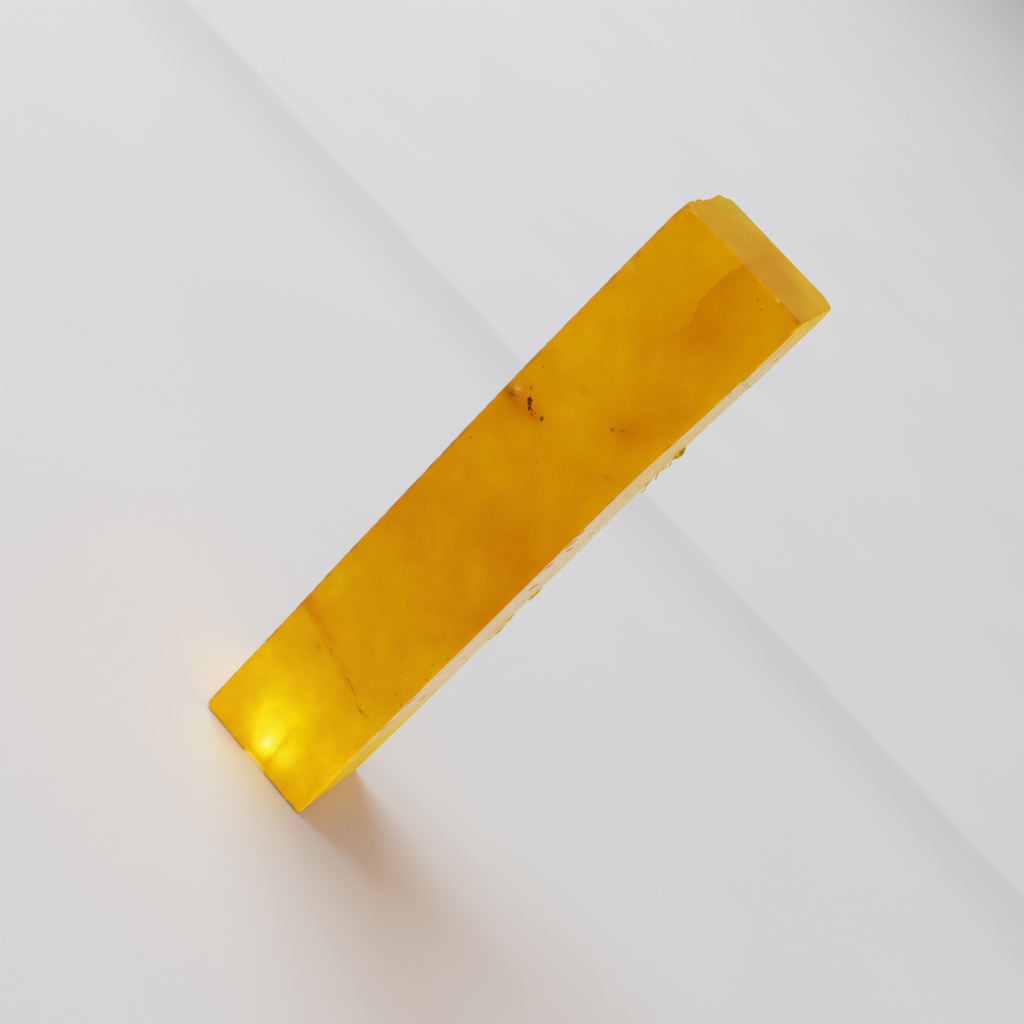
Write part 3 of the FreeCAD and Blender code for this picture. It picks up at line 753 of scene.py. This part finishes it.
def add_film(material):
    """The crack's film: as wide and deep as the bar, and a hair's breadth proud of it."""
    across, deep = np.linspace(0, 1, 90), np.linspace(0, 1, 70)
    shares, quads = block_shell(across, deep, np.array([0, 0.08, 0.5, 0.92, 1]))
    half = FILM_THICKNESS / 2
    lower, upper = (lambda x: crack_height(x) - half), (lambda x: crack_height(x) + half)
    points = shape_bar(shares, lower, upper, (False, False))
    outward = shares[:, :2] * 2 - 1
    thinning = 1 - 0.6 * np.abs(shares[:, 2] * 2 - 1) ** 3
    points[:, :2] += PROUD * np.where(np.abs(outward) > 0.999, np.sign(outward), 0) * thinning[:, None]

    def stained(at, normals):
        left_end = hump(at[:, 0], -9.5, 3.2)
        middle = hump(at[:, 0], -4.2, 1.6)
        thread = sum(hump(at[:, 0], x, reach) for x, reach in ((-2.7, 0.7), (2.6, 1.3), (5.8, 0.9)))
        patchy = 0.75 + 0.35 * noise(at, (0.8, 2, 2), 41)
        share = np.clip((0.04 + 0.2 * left_end + 0.12 * middle + 0.4 * thread) * patchy, 0, 0.9)
        return mixed(body_colour(at), CRACK_STAIN, share)

    return add_piece("crack_line", points, quads, material, "crack_film", stained)


def add_sheet(name, line, reach, slant, fade, change, material, replaced):
    """A sheet inside the bar, from a line up its front inwards. It thins towards its far edge."""
    z = np.linspace(line[0][1], line[-1][1], 60)
    x = along(line, z)
    depth = np.linspace(0, 1, 24) ** 1.6
    lean = math.tan(math.radians(slant))
    rows = []
    for side in (-1, 1):
        for share in depth if side < 0 else depth[::-1]:
            half = side * SHEET_THICKNESS / 2 * (1 - 0.7 * share)
            y = front_y(x, z) - PROUD + share * reach
            wavy = 0.12 * noise(np.stack([0 * z, y, z], 1), (2, 2, 3), 43) * share
            rows.append(np.stack([x + (y - FRONT) * lean + half + wavy, y, z], 1))
    points = np.stack(rows, 1).reshape(-1, 3)
    faces = tube_faces(len(z), len(rows))

    def shade(at, normals):
        return mixed(body_colour(at), linear(change[0]) / FRONT_LIGHT, change[1] * fade(at[:, 2]))

    return add_piece(name, points, faces, material, replaced, shade)


# ------------ grains, specks and flakes


def pebble(length, width, depth, tilt, seed):
    """A flat pebble: points along, up and out of a face, how near the rim each one is, and faces."""
    chance = np.random.default_rng(seed)
    phase = chance.uniform(0, 2 * math.pi, 4)
    angle = np.linspace(0, 2 * math.pi, SPOKES, endpoint=False)
    waves = sum(np.sin((k + 2) * angle + phase[k]) / (k + 2) for k in range(4))
    outline = 1 + GRAIN_UNEVENNESS * waves
    turned = math.radians(tilt)
    along_face, up, out, rim = [0.0], [0.0], [2.2 * PROUD], [0.0]
    shares = [*np.linspace(0, 1, RINGS)[1:], *np.linspace(1, 0, RINGS)[1:-1]]
    for ring, share in enumerate(shares):
        a = outline * share * length / 2 * np.cos(angle)
        b = outline * share * width / 2 * np.sin(angle)
        along_face.extend(a * math.cos(turned) - b * math.sin(turned))
        up.extend(a * math.sin(turned) + b * math.cos(turned))
        dome = math.sqrt(1 - share**2)
        inner = ring >= RINGS - 1
        out.extend([-depth * dome if inner else 2.2 * PROUD * dome + 0.002] * SPOKES)
        rim.extend([share] * SPOKES)
    along_face.append(0.0)
    up.append(0.0)
    out.append(-depth)
    rim.append(0.0)
    last = len(out) - 1
    faces = [(0, 1 + i, 1 + (i + 1) % SPOKES) for i in range(SPOKES)]
    for ring in range(len(shares) - 1):
        first = 1 + ring * SPOKES
        for i in range(SPOKES):
            k = (i + 1) % SPOKES
            faces.append((first + i, first + SPOKES + i, first + SPOKES + k, first + k))
    faces += [(last, last - SPOKES + (i + 1) % SPOKES, last - SPOKES + i) for i in range(SPOKES)]
    return np.stack([along_face, up, out], 1), np.array(rim), faces


def on_front(x, z):
    """A way to lay a pebble's points on the front face around a place."""
    def lay(shape):
        across, height = x + shape[:, 0], z + shape[:, 1]
        return np.stack([across, front_y(across, height) - shape[:, 2], height], 1)
    return lay


def on_right(y, z):
    """A way to lay a pebble's points on the right face around a place."""
    def lay(shape):
        back, height = y + shape[:, 0], z + shape[:, 1]
        return np.stack([right_x(back, height) + SIDE_PROUD + shape[:, 2], back, height], 1)
    return lay


def joined(parts):
    """The points and faces of several meshes as one mesh's."""
    faces, start = [], 0
    for points, its_faces in parts:
        faces += [tuple(start + i for i in face) for face in its_faces]
        start += len(points)
    return np.concatenate([points for points, _ in parts]), faces


def add_grains(name, grains, colour, strength, soft, material, replaced):
    """All grains of one kind as one piece. Soft is the share of a grain's radius over which it fades out."""
    parts, rims = [], []
    for number, (lay, length, width, depth, tilt) in enumerate(grains):
        shape, rim, faces = pebble(length, width, depth, tilt, 50 + number)
        parts.append((lay(shape), faces))
        rims.append(rim)
    points, faces = joined(parts)
    rims = np.concatenate(rims)

    def shade(at, normals):
        patchy = 1 + 0.25 * noise(at, 0.22, 44)
        share = np.clip(strength * (1 - smooth(1 - soft, 1.02, rims)) * patchy, 0, 1)
        return mixed(body_colour(at), linear(colour) / FRONT_LIGHT, share)

    return add_piece(name, points, faces, material, replaced, shade)


def strand(route, seed):
    """A curled burr along a route of x, y, z and radius, as points and faces."""
    route = np.array(route, float)
    share = np.linspace(0, 1, BURR_RINGS)
    knots = np.linspace(0, 1, len(route))
    line = np.stack([through(*zip(knots, column))(share) for column in route.T], 1)
    angle = np.linspace(0, 2 * math.pi, BURR_SPOKES, endpoint=False)
    points = []
    for x, y, z, radius in line:
        ring = np.stack([x + radius * np.cos(angle), y + 1.5 * radius * np.sin(angle), z + 0 * angle], 1)
        points.append(ring + 0.3 * radius * noise(ring, 0.35, seed)[:, None] * [1, 1, 0])
    return np.concatenate(points), tube_faces(BURR_RINGS, BURR_SPOKES)


def add_flakes(strands, material):
    """The thin burrs that hang from the right back arris."""
    points, faces = joined([strand(route, 60 + number) for number, route in enumerate(strands)])

    def shade(at, normals):
        return mixed(BURR_DARK, BURR_LIGHT, 0.5 + 0.5 * noise(at, 0.7, 45))

    return add_piece("arris_burrs", points, faces, material, "edge_flakes", shade)


# ------------ materials

# What share of a lamp's red, green and blue light each surface of the bar lets through.
LIGHT_PASSED = (0.78, 0.49, 0.02)


class Nodes:
    """A short way to write a material's node tree."""

    def __init__(self, name):
        self.material = bpy.data.materials.new(name)
        self.material.use_nodes = True
        self.tree = self.material.node_tree
        self.tree.nodes.clear()

    def put(self, socket, value):
        """Sets an input to a value, or joins it to another node's socket."""
        if isinstance(value, bpy.types.NodeSocket):
            self.tree.links.new(value, socket)
        else:
            socket.default_value = value

    def add(self, kind, inputs=(), **settings):
        """A node, with its inputs set to values or joined to other nodes' sockets."""
        node = self.tree.nodes.new("ShaderNode" + kind)
        for name, value in settings.items():
            setattr(node, name, value)
        for name, value in dict(inputs).items():
            self.put(node.inputs[name], value)
        return node

    def math(self, operation, first, second):
        return self.add("Math", {0: first, 1: second}, operation=operation).outputs[0]

    def position(self, cell):
        """The place on the bar, divided by the size of a texture's lumps in millimetres on each axis."""
        place = self.add("TexCoord").outputs["Object"]
        return self.add("Mapping", {"Vector": place, "Scale": [1 / (MM * size) for size in cell]}).outputs[0]

    def lumps(self, cell, detail, roughness=0.5):
        """Noise from about 0 to 1."""
        inputs = {"Vector": self.position(cell), "Scale": 1.0, "Detail": detail, "Roughness": roughness}
        return self.add("TexNoise", inputs).outputs["Fac"]

    def span(self, value, low, high, start=0.0, end=1.0, way="LINEAR"):
        """A value's range from start to end, spread between low and high and held there beyond it."""
        inputs = {"Value": value, "From Min": start, "From Max": end, "To Min": low, "To Max": high}
        return self.add("MapRange", inputs, interpolation_type=way).outputs["Result"]

    def blend(self, share, first, second, kind="MIX"):
        node = self.add("Mix", data_type="RGBA", blend_type=kind)
        for name, value in (("Factor", share), ("A", first), ("B", second)):
            self.put(next(s for s in node.inputs if s.name == name and s.enabled), value)
        return next(s for s in node.outputs if s.enabled)

    def finish(self, passed=None, **inputs):
        """The Principled shader and the output. Input names are written with underscores for spaces.

        Passed is the share of each colour of the lamps' light that each surface lets through.
        """
        named = {name.replace("_", " "): value for name, value in inputs.items()}
        shader = self.add("BsdfPrincipled", named).outputs[0]
        if passed:
            to_lamp = self.add("LightPath").outputs["Is Shadow Ray"]
            clear = self.add("BsdfTransparent", {"Color": (*passed, 1)}).outputs[0]
            shader = self.add("MixShader", {0: to_lamp, 1: shader, 2: clear}).outputs[0]
        self.add("OutputMaterial", {"Surface": shader})
        return self.material


def make_honey(name):
    """The bar's body: cloudy, with light scattered under its skin and saw streaks on its glossy sides."""
    n = Nodes(name)
    tint = n.add("Attribute", attribute_name="tint").outputs["Vector"]
    gloss_at = n.add("Attribute", attribute_name="gloss").outputs["Fac"]
    wear_at = n.add("Attribute", attribute_name="wear").outputs["Fac"]

    clouds = n.lumps((3.2, 3.2, 4.0), 4.0, 0.6)
    grain = n.lumps((0.5, 0.5, 0.5), 3.0, 0.6)
    mottle = n.math("ADD", n.math("MULTIPLY", clouds, 0.7), n.math("MULTIPLY", grain, 0.3))
    varied = n.blend(n.span(mottle, -0.6, 1.6), (0.94, 0.86, 0.8, 1), (1.05, 1.13, 1.2, 1))
    body = n.blend(1.0, tint, varied, "MULTIPLY")

    streaks = n.lumps((0.35, 0.35, 14.0), 3.0, 0.6)
    frost = n.lumps((0.22, 0.22, 0.22), 3.0, 0.7)
    rough = n.math("SUBTRACT", 0.7, n.math("MULTIPLY", gloss_at, 0.38))
    rough = n.math("ADD", rough, n.math("MULTIPLY", n.math("MULTIPLY", streaks, gloss_at), 0.12))
    rough = n.math("ADD", rough, n.math("MULTIPLY", n.span(clouds, -0.5, 0.5), 0.14))
    rough = n.math("ADD", rough, n.math("MULTIPLY", wear_at, 0.12))
    grit = n.math("MULTIPLY", frost, 0.6)
    ridges = n.math("MULTIPLY", n.math("MULTIPLY", streaks, gloss_at), 0.8)
    relief = n.math("ADD", grit, ridges)
    bump = n.add("Bump", {"Height": relief, "Strength": 0.25, "Distance": 0.05 * MM}).outputs[0]

    sheen = n.span(gloss_at, 0.0, 0.45, 0.6, 1.4)
    return n.finish(
        passed=LIGHT_PASSED,
        Base_Color=body,
        Roughness=rough,
        Normal=bump,
        IOR=1.55,
        Specular_Tint=(1.0, 0.7, 0.0, 1.0),
        Coat_Weight=sheen,
        Coat_Roughness=0.18,
        Subsurface_Weight=1.0,
        Subsurface_Radius=(1.0, 0.85, 0.3),
        Subsurface_Scale=0.55 * MM,
    )


# The size of the dark patches in a grain and in a speck.
GRAIN_PATCH = 0.25
SPECK_PATCH = 0.12


def make_grain(name, size):
    """A mineral grain: a speckled, slightly rough crystal that darkens in patches of a size."""
    n = Nodes(name)
    tint = n.add("Attribute", attribute_name="tint").outputs["Vector"]
    patches = n.lumps((size, size, size), 4.0, 0.65)
    facets = n.lumps((size / 2, size / 2, size / 2), 2.0, 0.5)
    varied = n.blend(n.span(patches, -0.6, 1.6), (0.6, 0.55, 0.5, 1), (1.3, 1.3, 1.25, 1))
    body = n.blend(1.0, tint, varied, "MULTIPLY")
    bump = n.add("Bump", {"Height": facets, "Strength": 0.3, "Distance": 0.04 * MM}).outputs[0]
    return n.finish(
        passed=LIGHT_PASSED,
        Base_Color=body,
        Roughness=n.span(patches, 0.45, 0.75),
        Normal=bump,
        Specular_IOR_Level=0.15,
        Subsurface_Weight=0.6,
        Subsurface_Radius=(1.0, 0.5, 0.15),
        Subsurface_Scale=0.2 * MM,
    )


# ------------ the stage

# The camera fitted to the photo: angles in degrees, the point that it looks at and how far off that is.
CAMERA_AZIMUTH = 5.693
CAMERA_ELEVATION = 24.549
CAMERA_ROLL = 45
CAMERA_DISTANCE = 255.26
CAMERA_TARGET = (0.53, 0, 51.53)
FIELD_OF_VIEW = 30.05
SENSOR_WIDTH = 36
# The lamps: places, sizes, powers, and the point that both are turned to.
LAMP_TARGET = (0, 0, 40)
WINDOW_PLACE = (-1400, 340, 1550)
WINDOW_SIZE = 1900
WINDOW_POWER = 33.5
FILL_PLACE = (1000, -1250, 700)
FILL_SIZE = 1200
FILL_POWER = 25.6
# The sky's colour, and how bright it is at the left and at the right.
SKY = (0.94, 0.96, 1.0)
SKY_LEFT = 0.58
SKY_RIGHT = 0.18
# Half the floor's side in metres, and how far behind the bar the paper's crease is, shown only as a band of
# painted shade.
FLOOR_HALF = 3.0
CREASE = 173


def add_lamp(name, place, size, power, colour):
    """A round lamp that the camera and glossy surfaces don't see."""
    lamp = bpy.data.lights.new(name, "AREA")
    lamp.shape = "DISK"
    lamp.size = size * MM
    lamp.energy = power
    lamp.color = colour
    holder = add_object(name, lamp)
    holder.location = Vector(place) * MM
    holder.rotation_euler = (Vector(LAMP_TARGET) - Vector(place)).to_track_quat("-Z", "Y").to_euler()
    holder.visible_camera = False
    holder.visible_glossy = False
    return holder


def add_floor():
    """A plain pale floor, with a band of painted shade just in front of the paper's crease."""
    n = Nodes("pale_paper")
    fibres = n.lumps((2.5, 2.5, 2.5), 4.0, 0.6)
    clouds = n.lumps((60, 60, 60), 2.0)
    tone = n.blend(clouds, (0.80, 0.80, 0.81, 1), (0.85, 0.85, 0.855, 1))
    tone = n.blend(n.span(fibres, -0.2, 0.4), tone, (0.79, 0.79, 0.80, 1))
    behind = n.add("SeparateXYZ", {0: n.position((1, 1, 1))}).outputs["Y"]
    # Painted shade of the crease: a darker band that fades in towards it and ends just past it.
    rising = n.span(behind, 0.0, 1.0, CREASE - 40, CREASE - 4, "SMOOTHSTEP")
    falling = n.span(behind, 0.0, 1.0, CREASE + 3, CREASE - 3, "SMOOTHSTEP")
    tone = n.blend(n.math("MULTIPLY", n.math("MULTIPLY", rising, falling), 0.2), tone, (0.5, 0.5, 0.54, 1))
    bump = n.add("Bump", {"Height": fibres, "Strength": 0.15, "Distance": 0.2 * MM}).outputs[0]
    rough = n.span(fibres, 0.7, 0.9)
    paper = n.finish(Base_Color=tone, Roughness=rough, Normal=bump, Specular_IOR_Level=0.2)
    mesh = bpy.data.meshes.new("floor")
    corners = [(x * FLOOR_HALF, y * FLOOR_HALF, 0) for x, y in ((-1, -1), (1, -1), (1, 1), (-1, 1))]
    mesh.from_pydata(corners, [], [(0, 1, 2, 3)])
    mesh.materials.append(paper)
    floor = add_object("floor", mesh)


def add_camera():
    """The camera, which looks down at the bar from in front and is rolled an eighth of a turn."""
    azimuth = math.radians(CAMERA_AZIMUTH)
    elevation = math.radians(CAMERA_ELEVATION)
    roll = math.radians(CAMERA_ROLL)
    back = Vector((
        math.sin(azimuth) * math.cos(elevation),
        -math.cos(azimuth) * math.cos(elevation),
        math.sin(elevation),
    ))
    right = Vector((0, 0, 1)).cross(back).normalized()
    up = back.cross(right)
    turned_right = right * math.cos(roll) + up * math.sin(roll)
    turned_up = up * math.cos(roll) - right * math.sin(roll)
    camera = bpy.data.cameras.new("camera")
    camera.sensor_width = SENSOR_WIDTH
    camera.lens = SENSOR_WIDTH / 2 / math.tan(math.radians(FIELD_OF_VIEW) / 2)
    camera.clip_start = 1 * MM
    holder = add_object("camera", camera)
    axes = Matrix((turned_right, turned_up, back)).transposed().to_4x4()
    place = Vector(CAMERA_TARGET) + back * CAMERA_DISTANCE
    holder.matrix_world = Matrix.Translation(place * MM) @ axes
    bpy.context.scene.camera = holder


def add_world():
    """A soft sky, brighter to the left."""
    world = bpy.data.worlds.new("studio")
    world.use_nodes = True
    tree = world.node_tree
    way = tree.nodes.new("ShaderNodeTexCoord")
    parts = tree.nodes.new("ShaderNodeSeparateXYZ")
    slope = tree.nodes.new("ShaderNodeMapRange")
    for name, value in (("From Min", -1), ("From Max", 1), ("To Min", SKY_LEFT), ("To Max", SKY_RIGHT)):
        slope.inputs[name].default_value = value
    background = tree.nodes["Background"]
    background.inputs["Color"].default_value = (*SKY, 1)
    tree.links.new(way.outputs["Generated"], parts.inputs[0])
    tree.links.new(parts.outputs["X"], slope.inputs["Value"])
    tree.links.new(slope.outputs["Result"], background.inputs["Strength"])
    bpy.context.scene.world = world
    bpy.context.scene.view_settings.view_transform = "Standard"


def light_only(lamp, pieces):
    """Keeps a lamp's light to these pieces."""
    lit = bpy.data.collections.new("lit_by_" + lamp.name)
    for piece in pieces:
        lit.objects.link(piece)
    lamp.light_linking.receiver_collection = lit


# ------------ the scene

add_camera()
add_world()
add_floor()
add_lamp("window", WINDOW_PLACE, WINDOW_SIZE, WINDOW_POWER, (1.0, 0.985, 0.97))
fill = add_lamp("fill", FILL_PLACE, FILL_SIZE, FILL_POWER, (0.97, 0.985, 1.0))

honey, stain, veil, fissure = map(make_honey, ("honey_body", "crack_stain", "veil", "fissure"))
pieces = [
    add_block(
        "bar_body", lambda x: crack_height(x) + CRACK_GAP / 2, lambda x: LENGTH + 0 * x,
        (False, True), finish_top, honey, "main_block",
    ),
    add_block(
        "bar_foot", lambda x: 0 * x, lambda x: crack_height(x) - CRACK_GAP / 2,
        (True, False), finish_foot, honey, "foot_block",
    ),
    add_film(stain),
    add_sheet(
        "veil_sheet", [(x, min(z, LENGTH - 0.02)) for x, z in VEIL], VEIL_REACH, VEIL_SLANT,
        lambda z: 0.35 + 0.65 * smooth(88, 93, z), ((226, 170, 10), 0.16), veil, "top_veil",
    ),
    add_sheet(
        "fissure_sheet", FISSURE, FISSURE_REACH, FISSURE_SLANT,
        lambda z: 1 - smooth(6, 9.4, z), ((226, 176, 0), 0.3), fissure, "base_fissure",
    ),
]
for kind, piece_name, slot, node, colour, strength, soft in KINDS:
    grain_material = make_grain(slot, GRAIN_PATCH)
    grains = [(on_front(x, z), length, width, 0.25, tilt) for x, z, length, width, tilt in GRAINS[kind]]
    pieces.append(add_grains(piece_name, grains, colour, strength, soft, grain_material, node))
specks = [(on_front(x, z), 0.3, 0.22, 0.12, 40 * i) for i, (x, z) in enumerate(FRONT_SPECKS)]
specks += [
    (on_right(y, z), 1.4 + 0.4 * (5 * i % 4), 0.22 + 0.05 * (3 * i % 4), 0.12, 6 + 13 * i % 20)
    for i, (y, z) in enumerate(SIDE_SPECKS)
]
pepper = make_grain("black_mineral", SPECK_PATCH)
pieces.append(
    add_grains("pepper", specks, (96, 50, 4), 0.8, 0.45, pepper, "pepper_specks")
)
pieces.append(add_flakes(BURRS, make_honey("thin_flake")))
light_only(fill, pieces)
